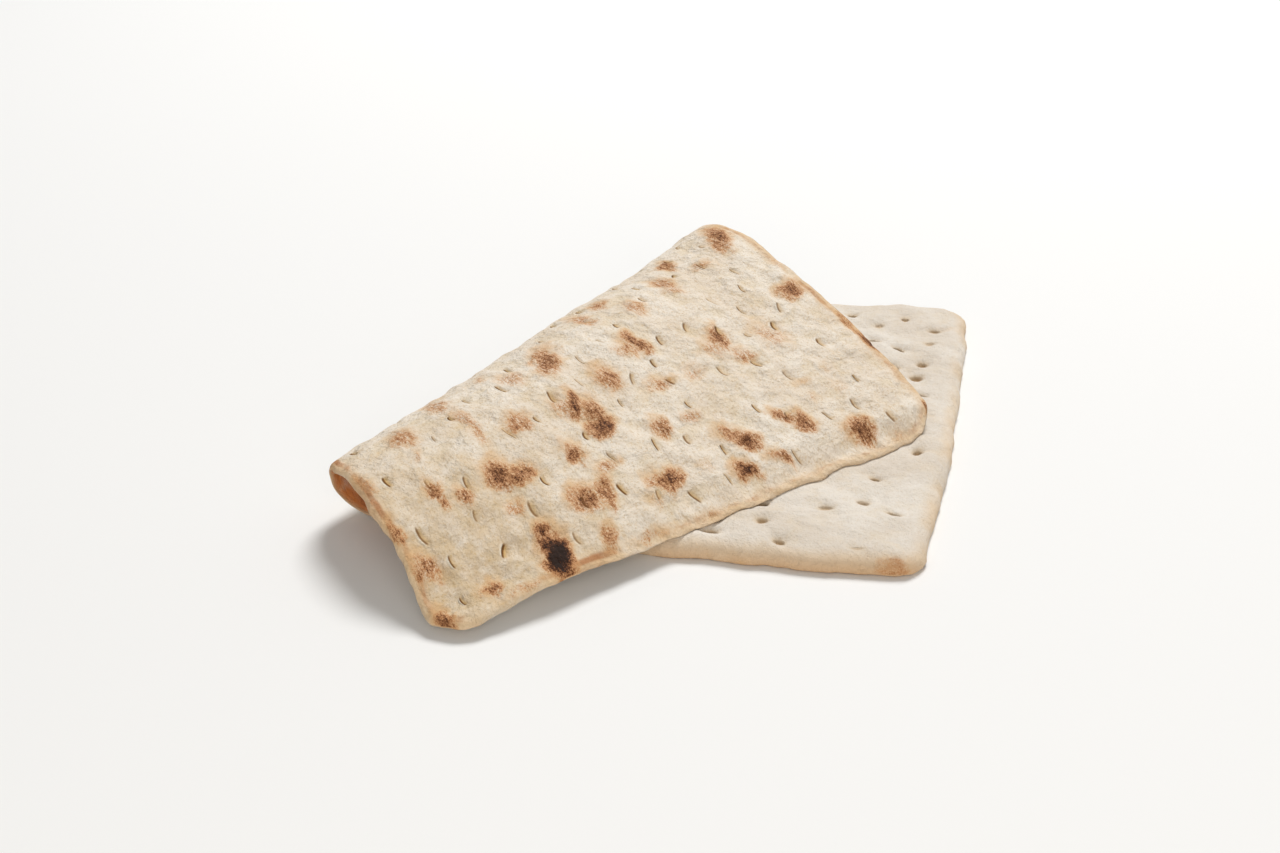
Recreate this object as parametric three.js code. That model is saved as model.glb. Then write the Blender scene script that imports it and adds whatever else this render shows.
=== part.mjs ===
// One soft sourdough flatbread: a rectangular docked sheet with its left part folded over.
// Millimetres. X runs along the sheet's front edge, Y to the back, Z up.
import * as THREE from "three";

// The sheet as it left the oven, before it was folded.
const SHEET_LENGTH = 300;
const SHEET_WIDTH = 206;
const SHEET_THICKNESS = 7.6;
const CORNER_RADIUS = 13;

// Its edge: baked flat below with a small round, and a wide soft round above.
const EDGE_ROUND_ABOVE = 5.5;
const EDGE_ROUND_BELOW = 1.6;
const EDGE_WIDEST_AT = -0.45;

// The fold line starts on the front edge and leans to the right towards the back.
const FOLD_FROM_LEFT = 93;
const FOLD_LEAN = THREE.MathUtils.degToRad(21);
const FOLD_LENGTH = 205;

// The bend stays open, tighter in front than at the back, and leads into a wide shoulder.
const BEND_RADIUS_FRONT = 10;
const BEND_RADIUS_BACK = 17.5;
const BEND_RISE = THREE.MathUtils.degToRad(26);
const SHOULDER_RADIUS = 58;

// The flap runs straight down from the shoulder and rests on the lower half near its end.
const FOOT_RADIUS = 25;
const REST_GAP = 1.4;
const REST_SHARE_FRONT = 0.91;
const REST_SHARE_BACK = 0.99;

// The flap's front corner hangs over the lower half's front edge, down to the table.
const OVERHANG = 60.6;
const OVERHANG_DROP = 11.4;
const OVERHANG_POWER = 1.45;

// Docking pins leave deep pits in the top face and shallow marks in the baked underside.
// The cells of the sheet are laid so that every pin stands on a corner of one.
const CELLS_LONG = 70;
const CELLS_WIDE = 36;
const CELLS_RIM = 4;
const PIN_EVERY_LONG = 6;
const PIN_EVERY_WIDE = 4;
const PIN_FIRST = 2;
const PIN_PIT_DEPTH = 2.2;
const PIN_MARK_DEPTH = 0.8;
const PIN_PIT_RADIUS = 3.2;
const PILLOW_DEPTH = 0.5;

const CRUST_COLOUR = 0xe3d5b8;

const leanSin = Math.sin(FOLD_LEAN);
const leanCos = Math.cos(FOLD_LEAN);
const restHeight = SHEET_THICKNESS + REST_GAP;
const cellLong = SHEET_LENGTH / CELLS_LONG;
const cellWide = SHEET_WIDTH / CELLS_WIDE;
const clamp = THREE.MathUtils.clamp;
const lerp = THREE.MathUtils.lerp;
const smoothstep = THREE.MathUtils.smoothstep;

// Height of the foot for a given slope of the ramp between the shoulder and the foot.
function footHeight(slope, topHeight, length) {
  const ramp = Math.max(length - SHOULDER_RADIUS * (BEND_RISE + slope) - FOOT_RADIUS * slope, 0);
  const shoulderFall = SHOULDER_RADIUS * (Math.cos(BEND_RISE) - Math.cos(slope));
  return topHeight - shoulderFall - ramp * Math.sin(slope) - FOOT_RADIUS * (1 - Math.cos(slope));
}

// The slope at which the flap comes down, so that its foot ends at the resting height.
function rampSlope(topHeight, length) {
  let low = 0;
  let high = 1.2;
  for (let step = 0; step < 40; step += 1) {
    const slope = (low + high) / 2;
    if (footHeight(slope, topHeight, length) > restHeight) {
      low = slope;
    } else {
      high = slope;
    }
  }
  return (low + high) / 2;
}

// Bend, shoulder, ramp and foot in a cut square to the fold: distance from the fold line, and height.
function foldedSection(beyond, radius, restAt) {
  const start = Math.PI * radius / 2;
  const path = beyond + start;
  if (path <= 0) {
    return { out: -beyond, height: 0 };
  }
  const bendLength = radius * (Math.PI - BEND_RISE);
  if (path < bendLength) {
    const turn = path / radius;
    return { out: start - radius * Math.sin(turn), height: radius * (1 - Math.cos(turn)) };
  }
  let out = start - radius * Math.sin(BEND_RISE);
  let height = radius * (1 + Math.cos(BEND_RISE));
  const length = start + restAt - bendLength;
  const slope = rampSlope(height, length);
  const heading = Math.max(BEND_RISE - (path - bendLength) / SHOULDER_RADIUS, -slope);
  out += SHOULDER_RADIUS * (Math.sin(BEND_RISE) - Math.sin(heading));
  height += SHOULDER_RADIUS * (Math.cos(heading) - Math.cos(BEND_RISE));
  const rampStart = bendLength + SHOULDER_RADIUS * (BEND_RISE + slope);
  const rampLength = Math.max(start + restAt - rampStart - FOOT_RADIUS * slope, 0);
  const onRamp = clamp(path - rampStart, 0, rampLength);
  out += onRamp * Math.cos(slope);
  height -= onRamp * Math.sin(slope);
  const onFoot = path - rampStart - rampLength;
  if (onFoot > 0) {
    const footHeading = Math.min(onFoot / FOOT_RADIUS - slope, 0);
    out += FOOT_RADIUS * (Math.sin(footHeading) + Math.sin(slope));
    out += Math.max(onFoot - FOOT_RADIUS * slope, 0);
    height -= FOOT_RADIUS * (Math.cos(footHeading) - Math.cos(slope));
  }
  return { out, height };
}

// Where a point of the sheet's middle layer lies once the sheet is folded.
function foldedPoint(along, across) {
  const fromFold = along - FOLD_FROM_LEFT;
  const down = fromFold * leanSin + across * leanCos;
  const beyond = across * leanSin - fromFold * leanCos;
  const share = clamp(down / FOLD_LENGTH, -0.3, 1.1);
  const radius = lerp(BEND_RADIUS_FRONT, BEND_RADIUS_BACK, share);
  const endAt = (FOLD_FROM_LEFT + down * leanSin) / leanCos;
  const restAt = endAt * lerp(REST_SHARE_FRONT, REST_SHARE_BACK, share);
  const section = foldedSection(beyond, radius, restAt);
  const x = FOLD_FROM_LEFT + down * leanSin + section.out * leanCos;
  const y = down * leanCos - section.out * leanSin;
  const overhang = Math.max(-y, 0) / OVERHANG;
  const onFlap = smoothstep(beyond, 0, Math.PI * radius / 2);
  const drop = OVERHANG_DROP * onFlap * Math.pow(overhang, OVERHANG_POWER);
  return new THREE.Vector3(x, y, section.height - drop);
}

function foldedNormal(along, across) {
  const step = 0.4;
  const right = foldedPoint(along + step, across).sub(foldedPoint(along - step, across));
  const back = foldedPoint(along, across + step).sub(foldedPoint(along, across - step));
  return right.cross(back).normalize();
}

// A point of the rectangle with rounded corners, drawn in by the inset all round.
function outlinePoint(along, across, inset) {
  const halfLong = SHEET_LENGTH / 2 - inset;
  const halfWide = SHEET_WIDTH / 2 - inset;
  const radius = CORNER_RADIUS - inset;
  const u = along * halfLong / (SHEET_LENGTH / 2);
  const v = across * halfWide / (SHEET_WIDTH / 2);
  const a = (Math.abs(u) - halfLong + radius) / radius;
  const b = (Math.abs(v) - halfWide + radius) / radius;
  if (a <= 0 || b <= 0) {
    return new THREE.Vector2(u, v);
  }
  const cornerU = halfLong - radius + radius * a * Math.sqrt(1 - b * b / 2);
  const cornerV = halfWide - radius + radius * b * Math.sqrt(1 - a * a / 2);
  return new THREE.Vector2(Math.sign(u) * cornerU, Math.sign(v) * cornerV);
}

// Distance to the nearest docking pin: rows of pins, every other row set half a step over.
function pinDistance(along, across) {
  const stepLong = PIN_EVERY_LONG * cellLong;
  const stepWide = PIN_EVERY_WIDE * cellWide;
  const fromFirst = along + SHEET_LENGTH / 2 - PIN_FIRST * cellLong;
  const fromRow = across + SHEET_WIDTH / 2 - PIN_FIRST * cellWide;
  let nearest = Infinity;
  const row = Math.round(fromRow / stepWide);
  for (let near = row - 1; near <= row + 1; near += 1) {
    const shift = near % 2 === 0 ? 0 : stepLong / 2;
    const column = Math.round((fromFirst - shift) / stepLong);
    const gap = Math.hypot(fromFirst - shift - column * stepLong, fromRow - near * stepWide);
    nearest = Math.min(nearest, gap);
  }
  return nearest;
}

// How far a face is sunk below the sheet's full thickness.
function sinkTop(along, across) {
  const pit = Math.exp(-Math.pow(pinDistance(along, across) / PIN_PIT_RADIUS, 2));
  const wave = Math.sin(along / 9.1 + 1.7 * Math.sin(across / 23)) * Math.sin(across / 6.3);
  return PIN_PIT_DEPTH * pit + PILLOW_DEPTH * (0.5 + 0.5 * wave) * (1 - pit);
}

function sinkUnder(along, across) {
  const mark = Math.exp(-Math.pow(pinDistance(along, across) / PIN_PIT_RADIUS, 2));
  const fromFold = along + SHEET_LENGTH / 2 - FOLD_FROM_LEFT;
  const beyond = (across + SHEET_WIDTH / 2) * leanSin - fromFold * leanCos;
  const wave = Math.sin(along / 13.3) * Math.sin(across / 11.1 + along / 31);
  const onFlap = smoothstep(beyond, 0, BEND_RADIUS_BACK);
  return onFlap * (PIN_MARK_DEPTH * mark + 0.5 * PILLOW_DEPTH * (0.5 + 0.5 * wave) * (1 - mark));
}

const geometry = new THREE.BoxGeometry(
  SHEET_LENGTH, SHEET_WIDTH, SHEET_THICKNESS, CELLS_LONG, CELLS_WIDE, CELLS_RIM);
const corners = geometry.attributes.position;
const half = SHEET_THICKNESS / 2;
for (let index = 0; index < corners.count; index += 1) {
  const along = corners.getX(index);
  const across = corners.getY(index);
  const level = corners.getZ(index) / half;
  const onRim = Math.abs(along) > SHEET_LENGTH / 2 - 0.01 || Math.abs(across) > SHEET_WIDTH / 2 - 0.01;
  const turn = level * Math.PI / 2;
  const round = level > 0 ? EDGE_ROUND_ABOVE : EDGE_ROUND_BELOW;
  const point = outlinePoint(along, across, round * (1 - Math.cos(turn)));
  const reach = level > 0 ? 1 - EDGE_WIDEST_AT : 1 + EDGE_WIDEST_AT;
  let height = half * (EDGE_WIDEST_AT + reach * Math.sin(turn));
  if (!onRim) {
    height += level > 0 ? -sinkTop(along, across) : sinkUnder(along, across);
  }
  const sheetX = point.x + SHEET_LENGTH / 2;
  const sheetY = point.y + SHEET_WIDTH / 2;
  const place = foldedPoint(sheetX, sheetY).addScaledVector(foldedNormal(sheetX, sheetY), height);
  corners.setXYZ(index, place.x, place.y, place.z);
}

// The frame's origin is below the middle of the folded piece, on the table.
geometry.computeBoundingBox();
const box = geometry.boundingBox;
geometry.translate(-(box.min.x + box.max.x) / 2, -(box.min.y + box.max.y) / 2, -box.min.z);
geometry.computeVertexNormals();

const crust = new THREE.MeshStandardMaterial({ color: CRUST_COLOUR, roughness: 0.9, metalness: 0 });
const flatbread = new THREE.Mesh(geometry, crust);
flatbread.name = "flatbread";

const part = new THREE.Group();
part.name = "sourdough_flatbread";
part.add(flatbread);

export default part;
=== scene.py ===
import bmesh
import bpy
import numpy as np
from mathutils import Matrix, Vector, kdtree, noise


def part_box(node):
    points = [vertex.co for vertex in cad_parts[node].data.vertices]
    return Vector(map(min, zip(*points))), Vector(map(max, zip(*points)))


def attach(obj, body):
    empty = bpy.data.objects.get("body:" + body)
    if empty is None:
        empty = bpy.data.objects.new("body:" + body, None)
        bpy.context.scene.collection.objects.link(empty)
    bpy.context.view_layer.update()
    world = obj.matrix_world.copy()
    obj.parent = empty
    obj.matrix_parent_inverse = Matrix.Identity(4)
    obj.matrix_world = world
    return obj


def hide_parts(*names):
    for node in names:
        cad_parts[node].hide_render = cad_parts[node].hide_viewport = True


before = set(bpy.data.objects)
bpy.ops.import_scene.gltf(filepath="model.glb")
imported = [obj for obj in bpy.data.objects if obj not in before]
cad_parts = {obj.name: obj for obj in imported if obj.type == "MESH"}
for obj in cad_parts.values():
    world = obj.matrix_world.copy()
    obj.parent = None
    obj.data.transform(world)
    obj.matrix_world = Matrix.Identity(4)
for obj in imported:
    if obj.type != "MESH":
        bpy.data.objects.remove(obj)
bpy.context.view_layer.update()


# Flatbread sheet
# One sheet of leavened sourdough, rolled out, docked with pins and baked on a hot stone.
# The top stays pale and puffy and the underside takes the stone's scorch marks. The soft
# sheet was then folded over once, so that the flap shows the scorched underside.

# The flat sheet in millimetres, baked flat with a small round below and a wide soft round above.
MM = 0.001
SHEET_LONG = 300.0
SHEET_WIDE = 206.0
HALF_THICK = 3.8
CORNER_ROUND = 13.0
EDGE_ROUND_ABOVE = 7.0
EDGE_ROUND_BELOW = 2.4
EDGE_WIDEST_AT = -0.58
CELLS_LONG = 250
CELLS_WIDE = 172
RIM_CUTS = 7

sheet = bmesh.new()
bmesh.ops.create_grid(sheet, x_segments=CELLS_LONG, y_segments=CELLS_WIDE, size=1)
bmesh.ops.scale(sheet, verts=sheet.verts, vec=(SHEET_LONG / 2, SHEET_WIDE / 2, 1))
bmesh.ops.solidify(sheet, geom=sheet.faces[:], thickness=2 * HALF_THICK)
middle = sum(v.co.z for v in sheet.verts) / len(sheet.verts)
bmesh.ops.translate(sheet, verts=sheet.verts, vec=(0, 0, -middle))
upright = [e for e in sheet.edges if abs(e.verts[0].co.z - e.verts[1].co.z) > HALF_THICK]
bmesh.ops.subdivide_edges(sheet, edges=upright, cuts=RIM_CUTS, use_grid_fill=True)
bmesh.ops.recalc_face_normals(sheet, faces=sheet.faces)
bread_mesh = bpy.data.meshes.new("flatbread_sheet")
sheet.to_mesh(bread_mesh)
sheet.free()

block = np.empty(len(bread_mesh.vertices) * 3)
bread_mesh.vertices.foreach_get("co", block)
block = block.reshape(-1, 3)
grid_along, grid_across = block[:, 0], block[:, 1]
level = block[:, 2] / HALF_THICK

# The outline has rounded corners and the waves of hand-rolled dough, and isn't quite square.
# A wave is its height, its length along and across the sheet, and a seed. A pair of places is where
# a form starts and is full. A span is where it starts, is full, wanes and ends. A corner is where
# its pull starts and is full, first along and then across.
EDGE_WAVE = 1.8
EDGE_WAVES = [(0.7, 11, 11, 5.5), (0.6, 37, 37, 6.5)]
EDGE_RIPPLES = [(0.3, 4, 4, 8.5)]
RIPPLE_SLANT = 3.0
FRONT_PART = (70, 0)
FOLD_FROM_LEFT = 93.0
FOLD_NOTCH = 2.5
FOLD_NOTCH_REACH = 22.0
BACK_PART = (130, SHEET_WIDE)
BACK_BULGE = 3.0
BACK_BULGE_SPAN = (0, 45, 140, 190)
FLAP_BULGE = 2.3
FLAP_BULGE_SPAN = (0, 35, 84, 108)
BACK_SLANT = 0.083
BACK_SLANT_FROM = (150, 200)
BACK_SLANT_PIVOT = 284.0
FRONT_SHORT = 3.0
FRONT_CORNER = (190, SHEET_LONG, 110, 0)
BACK_SHORT = 2.5
BACK_CORNER = (230, SHEET_LONG, 140, SHEET_WIDE)
FLAP_SHORT = 3.5
FLAP_CORNER = (60, 0, 168, SHEET_WIDE)


def swell(along, across, wave_long, wave_wide, seed):
    """Soft random hills of the given wave lengths, about -0.7 to 0.7."""
    places = zip(along / wave_long, across / wave_wide)
    return np.array([noise.noise((x, y, seed)) for x, y in places])


def hills(waves, along, across):
    """A sum of swells, each of its own height."""
    return sum(height * swell(along, across, *wave) for height, *wave in waves)


def ease(value, low, high):
    """0 at low, 1 at high, smooth between."""
    share = np.clip((value - low) / (high - low), 0, 1)
    return share * share * (3 - 2 * share)


def within(value, start, full, wane, end):
    """1 from full to wane, smoothly down to 0 at start and end."""
    return ease(value, start, full) * ease(value, end, wane)


def near_corner(long_start, long_full, wide_start, wide_full):
    """1 in a corner of the flat sheet, smoothly down to 0 away from it."""
    return ease(flat_along, long_start, long_full) * ease(flat_across, wide_start, wide_full)


def outline(inset):
    """The grid's points in a rounded rectangle drawn in by the inset, from its front left corner."""
    half_long, half_wide = SHEET_LONG / 2 - inset, SHEET_WIDE / 2 - inset
    corner = CORNER_ROUND - inset
    along = grid_along * half_long / (SHEET_LONG / 2)
    across = grid_across * half_wide / (SHEET_WIDE / 2)
    past_along = ((np.abs(along) - half_long) / corner + 1).clip(0)
    past_across = ((np.abs(across) - half_wide) / corner + 1).clip(0)
    in_corner = (past_along > 0) & (past_across > 0)
    round_along = half_long - corner + corner * past_along * np.sqrt(1 - past_across**2 / 2)
    round_across = half_wide - corner + corner * past_across * np.sqrt(1 - past_along**2 / 2)
    along = np.where(in_corner, np.sign(along) * round_along, along)
    across = np.where(in_corner, np.sign(across) * round_across, across)
    return along + SHEET_LONG / 2, across + SHEET_WIDE / 2


turn = level * np.pi / 2
edge_round = np.where(level > 0, EDGE_ROUND_ABOVE, EDGE_ROUND_BELOW)
ripple = RIPPLE_SLANT * level
edge_wave = hills(EDGE_WAVES, grid_along, grid_across)
edge_wave += hills(EDGE_RIPPLES, grid_along + ripple, grid_across - ripple)
edge_wave = EDGE_WAVE * edge_wave.clip(-0.5, 0.5)
flat_along, flat_across = outline(edge_round * (1 - np.cos(turn)) + edge_wave)

past_long = np.abs(flat_along - SHEET_LONG / 2) - SHEET_LONG / 2 + CORNER_ROUND
past_wide = np.abs(flat_across - SHEET_WIDE / 2) - SHEET_WIDE / 2 + CORNER_ROUND
from_edge = CORNER_ROUND - np.hypot(past_long.clip(0), past_wide.clip(0)) - edge_wave
from_edge -= np.maximum(past_long, past_wide).clip(None, 0)

back_bulge = BACK_BULGE * within(flat_along, *BACK_BULGE_SPAN)
back_bulge += BACK_SLANT * ease(flat_along, *BACK_SLANT_FROM) * (flat_along - BACK_SLANT_PIVOT)
back_bulge += FLAP_BULGE * within(flat_along, *FLAP_BULGE_SPAN)
fold_notch = FOLD_NOTCH * np.exp(-(((flat_along - FOLD_FROM_LEFT) / FOLD_NOTCH_REACH) ** 2))
front_short = FRONT_SHORT * near_corner(*FRONT_CORNER)
back_short = BACK_SHORT * near_corner(*BACK_CORNER)
flat_across += back_bulge * ease(flat_across, *BACK_PART) + fold_notch * ease(flat_across, *FRONT_PART)
flat_across += front_short
flat_along -= front_short + back_short
flat_along += FLAP_SHORT * near_corner(*FLAP_CORNER)

# Docking: rows of pins, every other row half a step over, with some stray pins between them.
PIN_ROWS = 9
PIN_COLUMNS = 13
PIN_STEP_LONG = 24.0
PIN_STEP_WIDE = 22.3
PIN_FIRST = 10.0
PIN_LAST = SHEET_LONG - 8
PIN_JITTER = 1.1
PIN_COUNT = 175
STRAY_LOW = (9, 9)
STRAY_HIGH = (SHEET_LONG - 9, SHEET_WIDE - 9)
STRAY_SPACING = 11.5
GIVE_UP_CHANCE = 0.002
PIN_TURN = 0.22
PIN_FORCE = (0.4, 1.0)
PIN_LENGTH = (0.65, 1.2)
PIN_WIDTH = (0.5, 1.2)
PIN_REACH = (5.5, 4.0)
CHANCE_SEED = 11
BATCHES = 20


def turned(along, across, lean):
    """The same gaps, measured along and across a line that leans by the given angle."""
    return along * np.cos(lean) + across * np.sin(lean), across * np.cos(lean) - along * np.sin(lean)


chance = np.random.default_rng(CHANCE_SEED)
pins = []
for row in range(PIN_ROWS):
    for column in range(PIN_COLUMNS):
        pin_along = PIN_FIRST + (column + 0.5 * (row % 2)) * PIN_STEP_LONG
        pin_across = PIN_FIRST + row * PIN_STEP_WIDE
        if pin_along < PIN_LAST:
            pins.append((pin_along, pin_across) + chance.normal(0, PIN_JITTER, 2))
while len(pins) < PIN_COUNT:
    stray = chance.uniform(STRAY_LOW, STRAY_HIGH)
    if np.hypot(*(np.array(pins) - stray).T).min() > STRAY_SPACING:
        pins.append(stray)
    elif chance.uniform() < GIVE_UP_CHANCE:
        break
pins = np.array(pins)
pin_turn = chance.normal(0, PIN_TURN, len(pins))
pin_force = chance.uniform(*PIN_FORCE, len(pins))
pin_length = chance.uniform(*PIN_LENGTH, len(pins))
pin_width = chance.uniform(*PIN_WIDTH, len(pins))

nearest = np.empty(len(block), int)
for some in np.array_split(np.arange(len(block)), BATCHES):
    gaps = np.hypot(flat_along[some, None] - pins[:, 0], flat_across[some, None] - pins[:, 1])
    nearest[some] = gaps.argmin(1)
gap_along = flat_along - pins[nearest, 0]
gap_across = flat_across - pins[nearest, 1]
slit_along, slit_across = turned(gap_along, gap_across, pin_turn[nearest])
slit_along /= pin_length[nearest]
slit_across /= pin_width[nearest]
pin_near = pin_force[nearest] * ease(np.hypot(gap_along, gap_across), *PIN_REACH)

# Scorch marks of the flap: along and across the sheet, half length, half width, turn, strength.
SCORCHED = [
    (8, 45, 9.5, 5, 12, 1.45), (19, 46, 4.5, 3, -10, 0.84), (6, 39, 4, 2.5, 20, 0.6),
    (22, 72, 9, 3.5, 12, 0.76), (23, 64, 6.5, 6, 0, 0.76), (6, 63, 5, 3, 20, 0.6),
    (42, 71, 5.5, 4, 0, 0.8), (41, 48, 4.5, 7, 0, 0.76), (44, 43, 6.5, 5.5, 0, 0.86),
    (31, 42, 3.5, 4, 0, 0.5), (61, 61, 5, 5.5, 0, 0.6), (69, 46, 14, 3, 3, 0.5),
    (90, 45, 11, 4.5, 10, 0.48), (86, 73, 7, 5, 0, 0.46), (95, 66, 6, 2.5, 15, 0.42),
    (75, 25, 9, 5.5, 12, 0.52), (62, 23, 4, 1.8, 25, 0.42), (47, 20, 5, 2.8, -10, 0.74),
    (42, 21, 5, 2.2, 0, 0.66), (41, 28, 4.5, 3.4, 0, 0.76), (9, 22, 4, 3, 0, 0.8),
    (9, 19, 5, 3, 0, 0.32), (26, 7, 6, 3.8, -15, 0.66), (6, 3.5, 6, 2.8, -5, 0.86),
    (33, 79, 3.2, 5, 0, 0.5), (61, 79, 6, 4, 0, 0.46), (11.5, 123.5, 5.4, 4, -53, 0.98),
    (11, 138, 6, 3, -40, 0.72), (22, 131, 4, 5, 20, 0.84), (27, 127, 6, 5, -20, 0.72),
    (40, 119, 4, 4, 0, 0.5), (59, 119, 4.5, 7, 0, 0.52), (40, 106, 6, 4, 0, 0.66),
    (19, 97, 4.2, 4.2, 0, 0.9), (18, 92, 6, 2.5, 0, 0.72), (19, 88, 5, 3, 0, 0.5),
    (12, 86, 5, 3, -15, 0.36), (49, 87, 5.5, 5, 0, 1.0), (57, 88, 7, 4.5, 0, 0.74),
    (62, 83, 7, 3.2, 15, 0.9), (62, 78, 6, 4, 0, 0.46), (69, 102, 7.5, 5.5, 0, 0.7),
    (69, 104, 3, 2, -30, 0.9), (88, 89, 12, 5.5, 22, 0.74), (79, 124, 4, 3, -25, 0.86),
    (84, 122, 5, 2.2, 10, 0.86), (80, 118, 5.5, 4, 0, 0.56), (79, 113, 4, 2.5, 0, 0.4),
    (101, 136, 7.5, 4.5, 15, 0.5), (115, 129, 6, 3.5, 15, 0.62), (107, 117, 12, 3.5, 0, 0.48),
    (18, 111, 3.5, 3, 0, 0.32), (59, 133, 5, 6, 0, 0.38), (10.5, 174, 6.5, 5.5, -30, 0.85),
    (13, 172, 6, 4, 10, 0.5), (21, 155, 5.5, 4.5, 0, 0.76), (27, 150, 5.5, 3, -20, 0.8),
    (71, 153, 7, 5, 10, 0.86), (76, 155, 6, 2, 20, 0.7), (67, 147, 7, 5, 0, 0.42),
    (60, 157, 6, 4.5, 0, 0.48), (114, 158, 7, 4.5, 0, 0.6), (106, 157, 5, 5, 30, 0.46),
    (129, 171, 7.5, 3.5, 20, 0.7), (117, 179, 3.5, 6, 0, 0.5), (87, 200, 5.5, 6, 0, 0.86),
    (131, 198, 15, 4.5, 22, 0.76), (118, 193, 6, 3.5, 0, 0.4), (67, 175, 10, 8, 0, 0.42),
    (32, 181, 4, 4.5, 0, 0.34), (42, 183, 4, 3.5, 0, 0.32), (31, 168, 3, 2.5, 0, 0.42),
    (39, 169, 3, 3, 0, 0.36), (38, 208, 40, 5, 0, 0.3), (50, 210, 6.5, 2, 0, 0.95),
    (63, 209.5, 9, 2, 0, 0.6), (11, 205.5, 3.5, 1, 20, 0.75), (105, 206, 9, 3, 0, 0.36),
    (25, 3, 5, 2, 0, 0.66), (40, 3, 6, 2, 0, 0.68), (60, 4, 8, 1.6, 0, 0.5),
    (2, 30, 2, 9, 0, 0.42), (2, 78, 2, 9, 0, 0.42), (2, 102, 2, 9, 0, 0.36),
    (2, 146, 2, 9, 0, 0.24), (30, 16, 46, 20, 6, 0.1), (30, 60, 30, 16, 0, 0.12),
    (120, 60, 30, 20, 20, 0.1), (5, 188, 5, 4, 0, 0.34),
]

# The side that lies on the table was on the stone too, so it has made-up marks of the same kind.
MARK_COUNT = 140
MADE_UP_LOW = (100, 4)
MADE_UP_HIGH = (296, 202)
MADE_UP_FROM = 135.0
MADE_UP_LEAN = 0.16
MADE_UP_SIZE = (3, 8)
MADE_UP_SHAPE = (0.5, 1.0)
MADE_UP_TURN = (-40, 40)
MADE_UP_STRENGTH = (0.3, 0.95)

marks = list(SCORCHED)
while len(marks) < MARK_COUNT:
    mark_along, mark_across = chance.uniform(MADE_UP_LOW, MADE_UP_HIGH)
    if mark_along > MADE_UP_FROM + MADE_UP_LEAN * mark_across:
        mark_long = chance.uniform(*MADE_UP_SIZE)
        mark_wide = mark_long * chance.uniform(*MADE_UP_SHAPE)
        mark_turn = chance.uniform(*MADE_UP_TURN)
        strength = chance.uniform(*MADE_UP_STRENGTH)
        marks.append((mark_along, mark_across, mark_long, mark_wide, mark_turn, strength))

# Each mark fades out over a ragged edge, with a tan halo that is set a little to one side.
RAGGED_ALONG = [(2.1, 7, 7, 71.0), (1.3, 2.6, 2.6, 72.0)]
RAGGED_ACROSS = [(2.1, 7, 7, 73.0), (1.3, 2.6, 2.6, 74.0)]
MARK_FADE = (1.75, 0.1)
HALO_FADE = (1.9, 0.5)
HALO_SHIFT = 0.2

ragged_along = flat_along + hills(RAGGED_ALONG, flat_along, flat_across)
ragged_across = flat_across + hills(RAGGED_ACROSS, flat_along, flat_across)
scorch_under = np.zeros(len(block))
halo_under = np.zeros(len(block))
for mark_along, mark_across, mark_long, mark_wide, mark_turn, strength in marks:
    lean = np.radians(mark_turn)
    span_long, span_wide = turned(ragged_along - mark_along, ragged_across - mark_across, lean)
    span_long /= mark_long
    span_wide /= mark_wide
    scorched = strength * ease(np.hypot(span_long, span_wide), *MARK_FADE)
    scorch_under = np.maximum(scorch_under, scorched)
    tanned = strength * ease(np.hypot(span_long - HALO_SHIFT, span_wide), *HALO_FADE)
    halo_under = np.maximum(halo_under, tanned)

# The top browned only here and there, most at the front right corner and inside the bend.
# A brown spot is its place along and across the sheet, half length, half width and strength.
BROWNED = [
    (288, 3, 9, 5, 0.5), (256, 55, 5, 3, 0.45), (290, 181, 5, 3, 0.28),
    (226, 22, 4, 3, 0.5), (120, 60, 26, 40, 0.2),
]
BROWN_FADE = (1.6, 0.3)

scorch_top = np.zeros(len(block))
for spot_along, spot_across, spot_long, spot_wide, strength in BROWNED:
    span = np.hypot((ragged_along - spot_along) / spot_long, (ragged_across - spot_across) / spot_wide)
    scorch_top = np.maximum(scorch_top, strength * ease(span, *BROWN_FADE))

# Relief of the top: puffy pillows with furrows between them, deep pits with a dimple around, and
# a flap that is thinner and tapers to its edge. A furrow is its depth, its width and a wave.
FOLD_LEAN = np.radians(21)
FLAP_FROM = (-15, 10)
RELIEF_FROM_EDGE = (0, 6)
PILLOWS = [(1.6, 15, 12, 3.1), (1.0, 32, 25, 9.2), (0.5, 6, 5, 13.7)]
FURROWS = [(0.5, 0.11, 24, 14, 33.3), (0.25, 0.12, 13, 8, 37.3)]
PIT_DEPTH = 2.7
PIT_SIZE = (2.5, 2.4)
DIMPLE_DEPTH = 1.1
DIMPLE_SIZE = (6.5, 5.0)
FLAP_THINNER = 1.5
FLAP_THINNER_FROM = (-30, -10)
TAPER = 3.1
TAPER_FROM = (15, 3)
FRONT_TAPER = 0.5
FRONT_TAPER_FROM = (30, 10)


def dent(half_long, half_wide, shift=0.0):
    """A round dent about each pin, 1 in its middle."""
    return np.exp(-((slit_along / half_long) ** 2) - ((slit_across - shift) / half_wide) ** 2)


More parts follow.
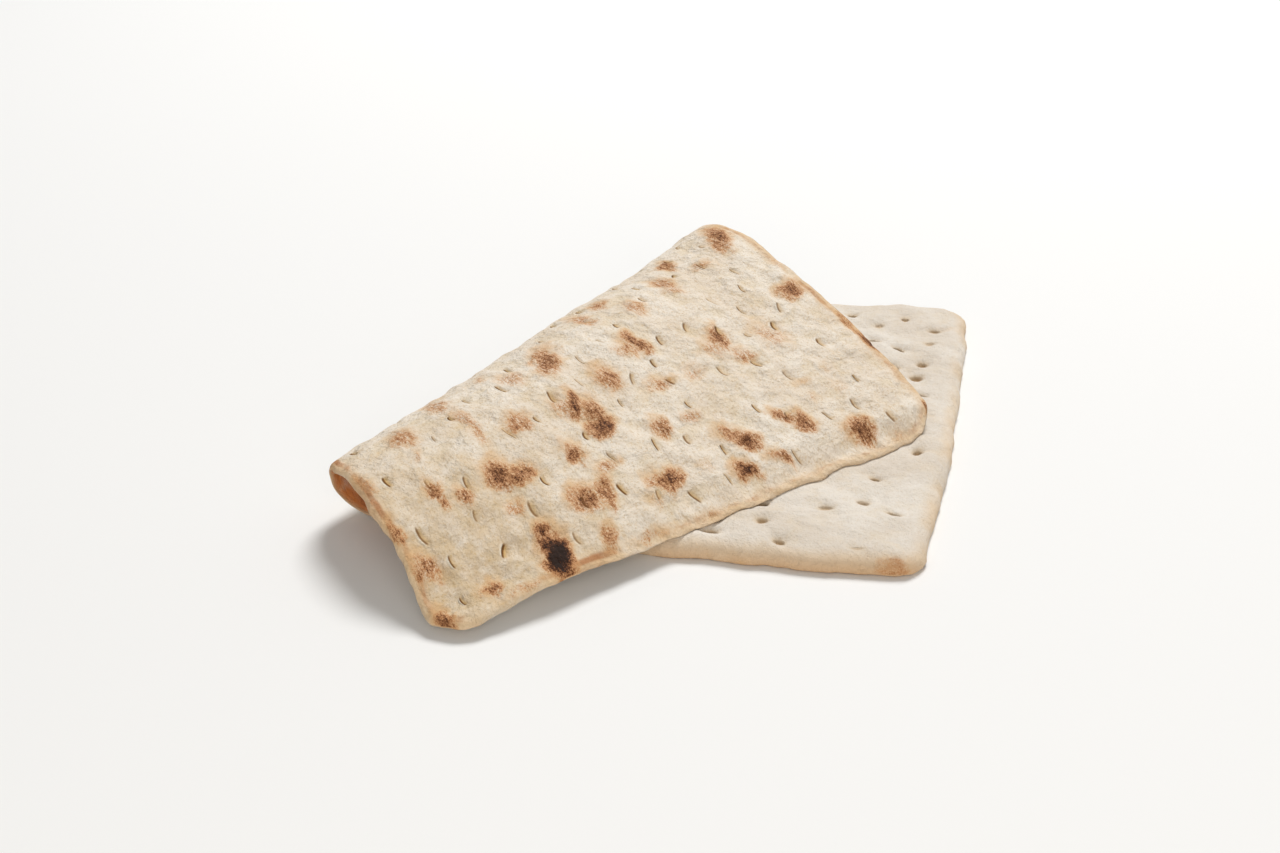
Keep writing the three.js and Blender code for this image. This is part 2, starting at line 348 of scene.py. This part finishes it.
from_fold = flat_along - FOLD_FROM_LEFT
beyond_fold = flat_across * np.sin(FOLD_LEAN) - from_fold * np.cos(FOLD_LEAN)
on_flap = ease(beyond_fold, *FLAP_FROM)
inside = ease(from_edge, *RELIEF_FROM_EDGE)
pillow = hills(PILLOWS, flat_along, flat_across)
for depth, width, *wave in FURROWS:
    pillow -= depth * np.exp(-((swell(flat_along, flat_across, *wave) / width) ** 2))
pillow = np.where(pillow > 0, np.tanh(pillow), pillow)
pits = PIT_DEPTH * pin_near * dent(*PIT_SIZE)
dimples = DIMPLE_DEPTH * pin_force[nearest] * dent(*DIMPLE_SIZE)
relief_top = inside * (pillow - pits - dimples)
taper = TAPER + FRONT_TAPER * ease(flat_across, *FRONT_TAPER_FROM)
taper *= ease(from_edge, *TAPER_FROM)
relief_top -= ease(beyond_fold, *FLAP_THINNER_FROM) * (FLAP_THINNER + taper)

# Relief of the underside: low lumps, calmer on the fold's crest, shallow slits, and blisters
# where it is scorched. Where it lies on the table it has only shallow hollows.
LUMPS = [(1.15, 19, 15, 20.4), (1.5, 8, 6.5, 25.3), (0.6, 4, 3.4, 28.8)]
CREST_AT = 15.0
CREST_REACH = 28.0
CREST_CALM = 0.6
SLIT_DEPTH = 0.8
SLIT_SIZE = (3.1, 1.5)
SLIT_SHIFT = 0.3
BLISTER = 0.35
SOFT_BEYOND = (20, 50)
SOFT_ACROSS = (30, 80)
LIP_THINNER = 1.3
LIP_THINNER_FROM = (9, 1)
TABLE_HOLLOW = 0.3
TABLE_LUMPS = 0.4

on_crest = np.exp(-(((beyond_fold - CREST_AT) / CREST_REACH) ** 2))
low_swell = hills(LUMPS, flat_along, flat_across) * (1 - CREST_CALM * on_crest)
slits = SLIT_DEPTH * pin_near * dent(*SLIT_SIZE, SLIT_SHIFT)
blisters = BLISTER * np.minimum(scorch_under, 1)
soft_end = ease(beyond_fold, *SOFT_BEYOND) * ease(flat_across, *SOFT_ACROSS)
relief_flap = low_swell * inside - slits + blisters
relief_flap -= LIP_THINNER * ease(from_edge, *LIP_THINNER_FROM) * soft_end
table_hollows = inside * (TABLE_HOLLOW + TABLE_LUMPS * low_swell).clip(0)
relief_under = on_flap * relief_flap - (1 - on_flap) * table_hollows

# The soft flap droops a little along its edge, most at its end.
FLAP_DROOP = 6.3
CORNER_DROOP = 1.4
CORNER_DROOP_FROM = (130, 200)
EDGE_SHARE = 0.15
EDGE_DROOP_FROM = (13, -1)
END_SHARE = 0.85
END_DROOP_FROM = (14, -1)

reach = np.where(level > 0, 1 - EDGE_WIDEST_AT, 1 + EDGE_WIDEST_AT)
height = HALF_THICK * (EDGE_WIDEST_AT + reach * np.sin(turn))
flat_place = np.stack([flat_along, flat_across, height], -1)
height += relief_top * np.sin(turn).clip(0) - relief_under * (-np.sin(turn)).clip(0)
droop = EDGE_SHARE * ease(from_edge, *EDGE_DROOP_FROM) + END_SHARE * ease(flat_along, *END_DROOP_FROM)
droop *= FLAP_DROOP + CORNER_DROOP * ease(flat_across, *CORNER_DROOP_FROM)
height += droop * soft_end

# The fold: a skewed line, an open bend that widens to the back, a shoulder, a ramp and a foot.
# Its front is lifted a little, and the flap's front corner hangs down over the edge.
FOLD_LENGTH = 205.0
FOLD_SHARES = (-0.3, 1.1)
BEND_FRONT = 8.6
BEND_BACK = 17.5
BEND_SAG = 2.0
SAG_AT = 0.82
SAG_REACH = 0.14
BEND_RISE = np.radians(26)
SHOULDER = 58.0
FOOT = 25.0
REST_HEIGHT = 7.5
REST_FRONT = 0.91
REST_BACK = 0.99
STEEPEST = 1.2
HALVINGS = 26
OVERHANG = 60.6
OVERHANG_DROP = 11.4
OVERHANG_POWER = 1.45
FRONT_LIFT = 1.8
FRONT_LIFT_SPAN = (-55, 0, 10, 75)
FRONT_LIFT_DOWN = (80, 0)
STEP = 0.4


def ramp_slope(radius, length):
    """The slope at which the flap comes down, so that its foot ends at the resting height."""
    flat, steep = np.zeros_like(radius), np.full_like(radius, STEEPEST)
    for _ in range(HALVINGS):
        slope = (flat + steep) / 2
        ramp = np.maximum(length - SHOULDER * (BEND_RISE + slope) - FOOT * slope, 0)
        foot_at = radius * (1 + np.cos(BEND_RISE)) - SHOULDER * (np.cos(BEND_RISE) - np.cos(slope))
        foot_at -= ramp * np.sin(slope) + FOOT * (1 - np.cos(slope))
        flat = np.where(foot_at > REST_HEIGHT, slope, flat)
        steep = np.where(foot_at > REST_HEIGHT, steep, slope)
    return (flat + steep) / 2


def folded(along, across):
    """Where points of the sheet's middle layer lie once it is folded."""
    lean_sin, lean_cos = np.sin(FOLD_LEAN), np.cos(FOLD_LEAN)
    down = (along - FOLD_FROM_LEFT) * lean_sin + across * lean_cos
    beyond = across * lean_sin - (along - FOLD_FROM_LEFT) * lean_cos
    share = np.clip(down / FOLD_LENGTH, *FOLD_SHARES)
    radius = BEND_FRONT + (BEND_BACK - BEND_FRONT) * share
    radius -= BEND_SAG * np.exp(-(((share - SAG_AT) / SAG_REACH) ** 2))
    rest_at = (FOLD_FROM_LEFT + down * lean_sin) / lean_cos
    rest_at *= REST_FRONT + (REST_BACK - REST_FRONT) * share
    start = np.pi * radius / 2
    path = beyond + start
    bend_end = radius * (np.pi - BEND_RISE)
    slope = ramp_slope(radius, start + rest_at - bend_end)
    bent = np.clip(path / radius, 0, np.pi - BEND_RISE)
    out = np.where(path <= 0, -beyond, start - radius * np.sin(bent))
    rise = radius * (1 - np.cos(bent))
    heading = np.clip(BEND_RISE - (path - bend_end) / SHOULDER, -slope, BEND_RISE)
    out += SHOULDER * (np.sin(BEND_RISE) - np.sin(heading))
    rise += SHOULDER * (np.cos(heading) - np.cos(BEND_RISE))
    ramp_start = bend_end + SHOULDER * (BEND_RISE + slope)
    ramp_length = np.maximum(start + rest_at - ramp_start - FOOT * slope, 0)
    on_ramp = np.clip(path - ramp_start, 0, ramp_length)
    out += on_ramp * np.cos(slope)
    rise -= on_ramp * np.sin(slope)
    on_foot = np.maximum(path - ramp_start - ramp_length, 0)
    heading = np.minimum(on_foot / FOOT - slope, 0)
    out += FOOT * (np.sin(heading) + np.sin(slope)) + np.maximum(on_foot - FOOT * slope, 0)
    rise -= FOOT * (np.cos(heading) - np.cos(slope))
    to_right = FOLD_FROM_LEFT + down * lean_sin + out * lean_cos
    to_back = down * lean_cos - out * lean_sin
    overhang = np.maximum(-to_back, 0) / OVERHANG
    drop = OVERHANG_DROP * ease(beyond / start, 0, 1) * overhang**OVERHANG_POWER
    lift = FRONT_LIFT * within(beyond, *FRONT_LIFT_SPAN) * ease(down, *FRONT_LIFT_DOWN)
    return np.stack([to_right, to_back, rise - drop + lift], -1)


right = folded(flat_along + STEP, flat_across) - folded(flat_along - STEP, flat_across)
back = folded(flat_along, flat_across + STEP) - folded(flat_along, flat_across - STEP)
outward = np.cross(right, back)
outward /= np.linalg.norm(outward, axis=1, keepdims=True)
place = folded(flat_along, flat_across) + outward * height[:, None]

# The soft end of the flap settles on the lower half and follows its pillows.
SETTLE_GAP = 0.2
END_THICK = 1.6
END_THICK_FROM = (0.3, -1)
END_LONG = 22.0
END_BEYOND = 40.0
LOWER_BEYOND = -20.0
TOP_LEVEL = 0.99
SUPPORTS = 4
SUPPORT_REACH = 2.0
SUPPORT_SOFTNESS = 0.2

lower_top = np.flatnonzero((level > TOP_LEVEL) & (beyond_fold < LOWER_BEYOND))
pillows = kdtree.KDTree(len(lower_top))
for index in lower_top.tolist():
    pillows.insert((*place[index, :2], 0), index)
pillows.balance()
for index in np.flatnonzero((flat_along < END_LONG) & (beyond_fold > END_BEYOND)).tolist():
    near = pillows.find_n((*place[index, :2], 0), SUPPORTS)
    if near[0][2] < SUPPORT_REACH:
        weight = np.array([1 / (SUPPORT_SOFTNESS + gap) for _, _, gap in near])
        support = np.average([place[under, 2] for _, under, _ in near], weights=weight)
        lowest = support + SETTLE_GAP + END_THICK * ease(level[index], *END_THICK_FROM)
        place[index, 2] = max(place[index, 2], lowest)

# The sheet's right and back edges and its underside lie on the sides of the CAD solid's box.
box_low, box_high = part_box("flatbread")
front_left = (box_high.x - SHEET_LONG * MM, box_high.y - SHEET_WIDE * MM, box_low.z + HALF_THICK * MM)
place = place * MM + front_left
bread_mesh.vertices.foreach_set("co", place.ravel())
bread_mesh.polygons.foreach_set("use_smooth", np.ones(len(bread_mesh.polygons), bool))

# What the crust's finish follows: place on the flat sheet, side, edge, scorch, docking and painted
# shade.
# The edge is browner in front, partly baked and partly painted shade, evenly at the right of the
# flap's end, and more at the flap's back.
BAKE = 0.3
BAKE_WAVES = [(0.6, 17, 17, 41.5)]
FRONT_BAKE_AND_SHADE = 0.42
FRONT_STRIP = (14, 4)
RIGHT_BAKE_AND_SHADE = 0.22
RIGHT_BAKE_AND_SHADE_FROM = (110, 190)
END_BAKE = 0.25
END_STRIP = (14, 4)
EVEN_BAKE = 0.43
EVEN_BAKE_FROM = (100, 140)
BACK_BAKE = 0.4
BACK_STRIP = (194, 203)
BACK_BAKE_SPAN = (4, 26, 60, 110)
# Painted warm shade inside the front of the bend: its middle along and across the sheet, its half
# length and width, and its fade.
BEND_SHADE_ALONG = 86.0
BEND_SHADE_ACROSS = -4.0
BEND_SHADE_LONG = 40.0
BEND_SHADE_WIDE = 30.0
BEND_SHADE_FADE = (1.3, 0.4)
CORNER_BAKE_FADE = (115, 10)

on_end = ease(flat_along, *END_STRIP)
edge_bake_and_shade = BAKE + hills(BAKE_WAVES, flat_along, flat_across)
# Partly painted shade: the front edge, most towards the right, is made browner.
front_bake_and_shade = FRONT_BAKE_AND_SHADE + RIGHT_BAKE_AND_SHADE * ease(flat_along, *RIGHT_BAKE_AND_SHADE_FROM)
edge_bake_and_shade += front_bake_and_shade * ease(flat_across, *FRONT_STRIP)
edge_bake_and_shade += END_BAKE * on_end
edge_bake_and_shade += on_end * ease(flat_across, *EVEN_BAKE_FROM) * (EVEN_BAKE - edge_bake_and_shade)
edge_bake_and_shade += BACK_BAKE * ease(flat_across, *BACK_STRIP) * within(flat_along, *BACK_BAKE_SPAN)
bend_long = (flat_along - BEND_SHADE_ALONG) / BEND_SHADE_LONG
bend_wide = (flat_across - BEND_SHADE_ACROSS) / BEND_SHADE_WIDE
guides = {
    "upper": ease(level, -1, 1),
    "from_edge": from_edge,
    "scorch": np.where(level > 0, scorch_top, scorch_under),
    "scorch_halo": np.where(level > 0, scorch_top, halo_under),
    "edge_bake_and_shade": edge_bake_and_shade,
    "bend_shade_share": ease(np.hypot(bend_long, bend_wide), *BEND_SHADE_FADE),
    "corner_bake": ease(np.hypot(flat_along, flat_across), *CORNER_BAKE_FADE),
}
for name, values in guides.items():
    bread_mesh.attributes.new(name, "FLOAT", "POINT").data.foreach_set("value", values)
docking = np.stack([slit_along, slit_across, pin_near], -1)
for name, values in {"flat_place": flat_place, "docking": docking}.items():
    bread_mesh.attributes.new(name, "FLOAT_VECTOR", "POINT").data.foreach_set("vector", values.ravel())

# The baking map: underside and top laid flat, one above the other, each with its part of the rim.
MAP_SPAN = 450.0
MAP_LOW = (10.0, 10.0)
MAP_TOP = (10.0, 230.0)
RIM_BELOW = 3.1
RIM_ABOVE = 10.4
FACE_CORNERS = 4

corners = np.empty(len(bread_mesh.loops), int)
bread_mesh.loops.foreach_get("vertex_index", corners)
face_level = level[corners].reshape(-1, FACE_CORNERS).mean(1)
on_top = np.repeat(face_level > 0, FACE_CORNERS)
low_map = np.stack(outline(EDGE_ROUND_BELOW - RIM_BELOW * (1 + level.clip(None, 0))), -1) + MAP_LOW
top_map = np.stack(outline(EDGE_ROUND_ABOVE - RIM_ABOVE * (1 - level.clip(0))), -1) + MAP_TOP
laid_flat = np.where(on_top[:, None], top_map[corners], low_map[corners]) / MAP_SPAN
bread_mesh.uv_layers.new(name="OFBake").data.foreach_set("uv", laid_flat.ravel())
bread_mesh.update()

# The crust: floury cream dough, tan to black where scorched, browned at the edge and in the pits, with
# painted shade in hollows, slits, pits, at the edge and in the bend.
crust = bpy.data.materials.new("baked_crust")
crust.use_nodes = True
crust_nodes = crust.node_tree.nodes
crust_links = crust.node_tree.links
crust_shader = crust_nodes["Principled BSDF"]


def tone(red, green, blue):
    """A colour given in screen values of 0 to 255."""
    screen = np.array((red, green, blue)) / 255
    light = np.where(screen <= 0.04045, screen / 12.92, ((screen + 0.055) / 1.055) ** 2.4)
    return (*light, 1.0)


def read(name, output="Fac"):
    """One of the sheet's guides."""
    node = crust_nodes.new("ShaderNodeAttribute")
    node.attribute_name = name
    return node.outputs[output]


def join(socket, value):
    """Gives a socket a value, or a link to the socket that has it."""
    if isinstance(value, bpy.types.NodeSocket):
        crust_links.new(value, socket)
    else:
        socket.default_value = value


def calc(operation, *values):
    node = crust_nodes.new("ShaderNodeMath")
    node.operation = operation
    for socket, value in zip(node.inputs, values):
        join(socket, value)
    return node.outputs[0]


def times(*values):
    product = values[0]
    for value in values[1:]:
        product = calc("MULTIPLY", product, value)
    return product


def plus(*values):
    total = values[0]
    for value in values[1:]:
        total = calc("ADD", total, value)
    return total


def by_side(stone_value, top_value):
    """A value that differs between the stone side and the top."""
    return calc("SUBTRACT", stone_value, times(side, stone_value - top_value))


def fade(value, low, high):
    """0 at low, 1 at high, smooth between."""
    node = crust_nodes.new("ShaderNodeMapRange")
    node.interpolation_type = "SMOOTHSTEP"
    join(node.inputs["Value"], value)
    node.inputs["From Min"].default_value = low
    node.inputs["From Max"].default_value = high
    return node.outputs["Result"]


def speckle(size, detail, roughness, stretch=(1, 1, 1)):
    """Random blotches of about the given size in millimetres, 0 to 1."""
    mapping = crust_nodes.new("ShaderNodeMapping")
    mapping.inputs["Scale"].default_value = [s / size for s in stretch]
    join(mapping.inputs["Vector"], sheet_place)
    node = crust_nodes.new("ShaderNodeTexNoise")
    join(node.inputs["Vector"], mapping.outputs["Vector"])
    node.inputs["Scale"].default_value = 1.0
    node.inputs["Detail"].default_value = detail
    node.inputs["Roughness"].default_value = roughness
    return node.outputs["Fac"]


def swing(pattern, amount):
    """A pattern of 0 to 1 as a swing to both sides."""
    return times(calc("SUBTRACT", pattern, 0.5), amount)


def blend(share, below, above):
    node = crust_nodes.new("ShaderNodeMix")
    node.data_type = "RGBA"
    join(node.inputs["Factor"], share)
    join(node.inputs[6], below)
    join(node.inputs[7], above)
    return node.outputs[2]


def lay(below, cover, colour):
    """A tone laid over what is below, as far as it covers it."""
    return blend(cover, below, tone(*colour))


sheet_place = read("flat_place", "Vector")
side = read("upper")
edge = read("from_edge")
baked_and_shaded = read("edge_bake_and_shade")
burn = read("scorch")
dock = crust_nodes.new("ShaderNodeSeparateXYZ")
join(dock.inputs["Vector"], read("docking", "Vector"))
dock_along, dock_across, dock_force = dock.outputs

clouds = speckle(size=26, detail=3.0, roughness=0.55)
patches = speckle(size=6, detail=4.0, roughness=0.6)
lumps = speckle(size=7, detail=2.0, roughness=0.5)
flour = speckle(size=1.6, detail=4.0, roughness=0.6)
grain = speckle(size=0.7, detail=2.0, roughness=0.6)
crumbs = speckle(size=0.45, detail=2.0, roughness=0.6)
streaks = speckle(size=0.9, detail=2.0, roughness=0.6, stretch=(0.25, 1, 1))

# Cream dough: yellower on the stone side, whiter and a little pinker on the floured top.
STONE_CREAM = (232, 218, 200)
STONE_PALE = (240, 230, 216)
STONE_WARM = (222, 201, 170)
STONE_FLOUR = (243, 235, 220)
STONE_KHAKI = (204, 176, 132)
TOP_CREAM = (219, 208, 194)
TOP_PALE = (229, 221, 210)
TOP_WARM = (216, 199, 174)
TOP_FLOUR = (236, 230, 219)
HOLLOW_PAINTED_SHADE = (220, 198, 160)
PORE_TAN = (200, 168, 118)

cloudy = fade(clouds, 0.36, 0.66)
stone_side = lay(tone(*STONE_CREAM), cloudy, STONE_PALE)
stone_side = lay(stone_side, times(fade(patches, 0.48, 0.72), 0.45), STONE_WARM)
stone_side = lay(stone_side, times(fade(flour, 0.5, 0.7), 0.45), STONE_FLOUR)
khaki = times(read("corner_bake"), fade(patches, 0.2, 0.65), 0.72)
stone_side = lay(stone_side, khaki, STONE_KHAKI)
top_side = lay(tone(*TOP_CREAM), cloudy, TOP_PALE)
top_side = lay(top_side, times(fade(patches, 0.5, 0.74), 0.3), TOP_WARM)
top_side = lay(top_side, times(fade(flour, 0.52, 0.7), 0.3), TOP_FLOUR)
dough = blend(side, stone_side, top_side)
# Painted warm shade: where the lumps' bump is low, a beige tone is laid.
dough = lay(dough, times(fade(lumps, 0.52, 0.3), by_side(0.35, 0.15)), HOLLOW_PAINTED_SHADE)
dough = lay(dough, times(fade(grain, 0.52, 0.68), by_side(0.46, 0.16)), PORE_TAN)

# The edge is baked: a tan lip all round and a broken brown line where it met the stone, all browner in
# front, partly as painted shade. The inside of the bend is painted warm orange shade in front.
LIP_REACH = (6.5, 0.3)
RIM_REACH = (4.5, 0.5)
LINE_INNER = (4.0, 2.9)
LINE_OUTER = (1.2, 2.0)
LIP_TAN = (227, 196, 155)
RIM_TAN_AND_SHADE = (208, 167, 124)
LINE_BROWN = (178, 118, 72)
BEND_SHADE_ORANGE = (218, 132, 62)

rim_heat_and_shade = plus(baked_and_shaded, times(patches, 0.6))
line_heat_and_shade = plus(baked_and_shaded, times(flour, 0.6), times(patches, 0.8))
lip = times(fade(edge, *LIP_REACH), by_side(0.9, 0.5), fade(rim_heat_and_shade, 0.25, 0.9))
# The rim's tan, stronger towards the stone side and in front, is partly baked and partly painted
# shade.
rim = times(fade(edge, *RIM_REACH), fade(side, 0.95, 0.4), fade(rim_heat_and_shade, 0.8, 1.3))
line = times(fade(edge, *LINE_INNER), fade(edge, *LINE_OUTER), fade(side, 0.5, 0.2))
line = times(line, fade(line_heat_and_shade, 1.0, 1.6))
# Painted warm shade: the inside of the bend is laid orange in front.
warm_bend_shade = times(read("bend_shade_share"), fade(side, 0.45, 0.8), fade(patches, 0.1, 0.6))
dough = lay(dough, lip, LIP_TAN)
dough = lay(dough, times(rim, 0.7), RIM_TAN_AND_SHADE)
dough = lay(dough, times(line, 0.8), LINE_BROWN)
dough = lay(dough, times(warm_bend_shade, 0.95), BEND_SHADE_ORANGE)

# Scorch: a soft tan halo, a red brown body drawn out along the sheet, a dark middle, a black core.
# A layer of char is where it starts, where it is full, how far it covers and its tone.
HALO_TAN = (220, 179, 130)
CHAR_LAYERS = [
    (0.28, 0.7, 0.85, (191, 133, 86)),
    (0.58, 1.0, 0.9, (117, 70, 38)),
    (0.9, 1.2, 0.9, (64, 31, 13)),
    (1.15, 1.4, 0.9, (34, 18, 9)),
]

ragged = plus(swing(streaks, 1.0), swing(flour, 0.6), swing(crumbs, 1.5))
ragged = times(ragged, fade(burn, 0.05, 0.6), by_side(1.0, 0.2))
halo = plus(read("scorch_halo"), times(ragged, 0.7), swing(patches, 0.5))
char = plus(times(burn, 1.12), ragged)
dough = lay(dough, times(fade(halo, 0.1, 0.7), 0.65), HALO_TAN)
for char_start, char_full, char_cover, char_tone in CHAR_LAYERS:
    dough = lay(dough, times(fade(char, char_start, char_full), char_cover), char_tone)

# Docking: on the stone side a creased slit with a dark line of painted shade in its crease, painted
# shade in the pocket behind it and a painted highlight on its brim; in the top a hole, browned and
# with painted shade.
SLIT_BOW = 0.06
CREASE_SHIFT = 0.6
HOLE_LONG = 1.8
HOLE_WIDE = 1.6
HOLE_FADE = (1.5, 0.4)
HOLE_RIM_FADE = (2.4, 0.6)
BRIM_HIGHLIGHT_PALE = (247, 239, 223)
POCKET_SHADE_OCHRE = (201, 163, 100)
CREASE_SHADE_BROWN = (112, 70, 28)
HOLE_RING_BEIGE_AND_SHADE = (212, 184, 140)
HOLE_BROWN_AND_SHADE = (164, 124, 76)


def strip(front, behind, ends):
    """A strip along the slit: where it fades in front of the crease, behind it and at its ends."""
    return times(fade(crease, *front), fade(crease, *behind), fade(slit_span, *ends), slit_force)


bow = times(calc("POWER", dock_along, 2.0), SLIT_BOW)
crease = calc("SUBTRACT", plus(dock_across, CREASE_SHIFT), bow)
slit_span = calc("ABSOLUTE", dock_along)
slit_force = times(dock_force, by_side(1.0, 0.0))
pocket = strip(front=(-0.35, 0.0), behind=(2.7, 0.4), ends=(3.4, 1.6))
crease_shade_line = strip(front=(-0.3, 0.0), behind=(0.8, 0.25), ends=(3.3, 1.9))
brim = strip(front=(-1.5, -0.5), behind=(-0.2, -0.45), ends=(3.3, 1.6))
hole_long = calc("POWER", calc("DIVIDE", dock_along, HOLE_LONG), 2.0)
hole_wide = calc("POWER", calc("DIVIDE", dock_across, HOLE_WIDE), 2.0)
hole_span = calc("SQRT", plus(hole_long, hole_wide))
hole_force = times(dock_force, side)
hole = times(fade(hole_span, *HOLE_FADE), hole_force)
unburnt = fade(burn, 0.7, 0.2)
# Painted highlight: a pale brim in front of each slit's crease.
dough = lay(dough, times(brim, unburnt, 0.75), BRIM_HIGHLIGHT_PALE)
# Painted shade: an ochre pocket behind the crease.
dough = lay(dough, times(pocket, unburnt, 0.95), POCKET_SHADE_OCHRE)
# Painted shade: a dark brown line in the crease.
dough = lay(dough, calc("MINIMUM", times(crease_shade_line, 1.2), 0.95), CREASE_SHADE_BROWN)
# Partly browned, partly painted shade: a beige ring round each hole in the top and a brown middle.
dough = lay(dough, times(fade(hole_span, *HOLE_RIM_FADE), hole_force, 0.7), HOLE_RING_BEIGE_AND_SHADE)
dough = lay(dough, times(hole, 0.75), HOLE_BROWN_AND_SHADE)
crust_links.new(dough, crust_shader.inputs["Base Color"])

# Dry and matt, a little less so where scorched; lumps, floury grain, slits and holes as bump.
# A bump is its height in millimetres, and for lumps and flour that on the stone side and the top.
DULL = 0.86
GRAIN_DULL = 0.14
SCORCH_SHEEN = 0.12
SPECULAR = 0.3
LUMP_BUMP = (2.9, 1.4)
FLOUR_BUMP = (0.9, 0.4)
GRAIN_BUMP = 0.4
BRIM_BUMP = 0.45
POCKET_BUMP = 0.45
HOLE_BUMP = 1.2

sheen = times(calc("MINIMUM", burn, 1.0), SCORCH_SHEEN)
dull = calc("SUBTRACT", plus(DULL, times(grain, GRAIN_DULL)), sheen)
crust_links.new(dull, crust_shader.inputs["Roughness"])
crust_shader.inputs["Specular IOR Level"].default_value = SPECULAR
swells = times(lumps, by_side(*LUMP_BUMP))
fine = times(flour, by_side(*FLOUR_BUMP))
bumps = plus(times(grain, GRAIN_BUMP), fine, swells, times(brim, BRIM_BUMP))
bumps = calc("SUBTRACT", bumps, plus(times(pocket, POCKET_BUMP), times(hole, HOLE_BUMP)))
crust_bump = crust_nodes.new("ShaderNodeBump")
crust_bump.inputs["Distance"].default_value = MM
crust_links.new(bumps, crust_bump.inputs["Height"])
crust_links.new(crust_bump.outputs["Normal"], crust_shader.inputs["Normal"])

bread_mesh.materials.append(crust)
bread = bpy.data.objects.new("flatbread_sheet", bread_mesh)
bpy.context.scene.collection.objects.link(bread)
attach(bread, "root")
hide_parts("flatbread")


# Floor
# A wide matt sheet of pale studio paper that the bread lies on. It is only staging, and is laid
# flat as one grid.
FLOOR_SIZE = 4.0
FLOOR_CELLS = 8
PAPER_WHITE = (240, 240, 239)
PAPER_DULL = 0.9

floor_form = bmesh.new()
bmesh.ops.create_grid(floor_form, x_segments=FLOOR_CELLS, y_segments=FLOOR_CELLS, size=FLOOR_SIZE)
floor_mesh = bpy.data.meshes.new("studio_floor")
floor_form.to_mesh(floor_mesh)
floor_form.free()
paper = bpy.data.materials.new("pale_paper")
paper.use_nodes = True
paper_shader = paper.node_tree.nodes["Principled BSDF"]
paper_shader.inputs["Base Color"].default_value = tone(*PAPER_WHITE)
paper_shader.inputs["Roughness"].default_value = PAPER_DULL
floor_mesh.materials.append(paper)
floor = bpy.data.objects.new("studio_floor", floor_mesh)
bpy.context.scene.collection.objects.link(floor)


# Light
# A broad soft lamp above and behind, a weak warm one in front, and pale walls all round. Both
# lamps are round and look at the bread.
WALL_LIGHT = (1.0, 0.98, 0.95, 1.0)
WALL_STRENGTH = 0.3


def lamp(name, place, size, power, colour):
    light = bpy.data.lights.new(name, "AREA")
    light.shape = "DISK"
    light.size = size
    light.energy = power
    light.color = colour
    holder = bpy.data.objects.new(name, light)
    holder.location = place
    holder.rotation_euler = (-Vector(place)).to_track_quat("-Z", "Y").to_euler()
    bpy.context.scene.collection.objects.link(holder)


lamp("key_lamp", place=(0.15, 1.5, 2.15), size=1.1, power=57, colour=(1, 1, 1))
lamp("fill_lamp", place=(0.4, -1.2, 0.6), size=1.2, power=7, colour=(1, 0.95, 0.88))
walls = bpy.data.worlds.new("pale_walls")
walls.use_nodes = True
wall_shader = walls.node_tree.nodes["Background"]
wall_shader.inputs["Color"].default_value = WALL_LIGHT
wall_shader.inputs["Strength"].default_value = WALL_STRENGTH
bpy.context.scene.world = walls
bpy.context.scene.view_settings.view_transform = "Standard"


# Camera
# A normal lens, looking down on the bread from in front and a little from the right. It is
# turned to the left, tipped down and rolled by a degree.
CAMERA_PLACE = (0.11715, -0.50460, 0.29010)
CAMERA_PITCH, CAMERA_YAW, CAMERA_ROLL = np.radians((28.555, -14.301, -1.293))
LENS = 45.1
SENSOR_WIDTH = 36.0
CLIP_START = 0.01

flat_ahead = Vector((np.sin(CAMERA_YAW), np.cos(CAMERA_YAW), 0))
ahead = np.cos(CAMERA_PITCH) * flat_ahead - np.sin(CAMERA_PITCH) * Vector((0, 0, 1))
level_right = Vector((np.cos(CAMERA_YAW), -np.sin(CAMERA_YAW), 0))
level_up = level_right.cross(ahead)
camera_right = np.cos(CAMERA_ROLL) * level_right + np.sin(CAMERA_ROLL) * level_up
camera_up = np.cos(CAMERA_ROLL) * level_up - np.sin(CAMERA_ROLL) * level_right
camera = bpy.data.objects.new("camera", bpy.data.cameras.new("camera"))
camera.data.sensor_width = SENSOR_WIDTH
camera.data.lens = LENS
camera.data.clip_start = CLIP_START
camera_turn = Matrix((camera_right, camera_up, -ahead)).transposed().to_4x4()
camera.matrix_world = Matrix.Translation(CAMERA_PLACE) @ camera_turn
bpy.context.scene.collection.objects.link(camera)
bpy.context.scene.camera = camera
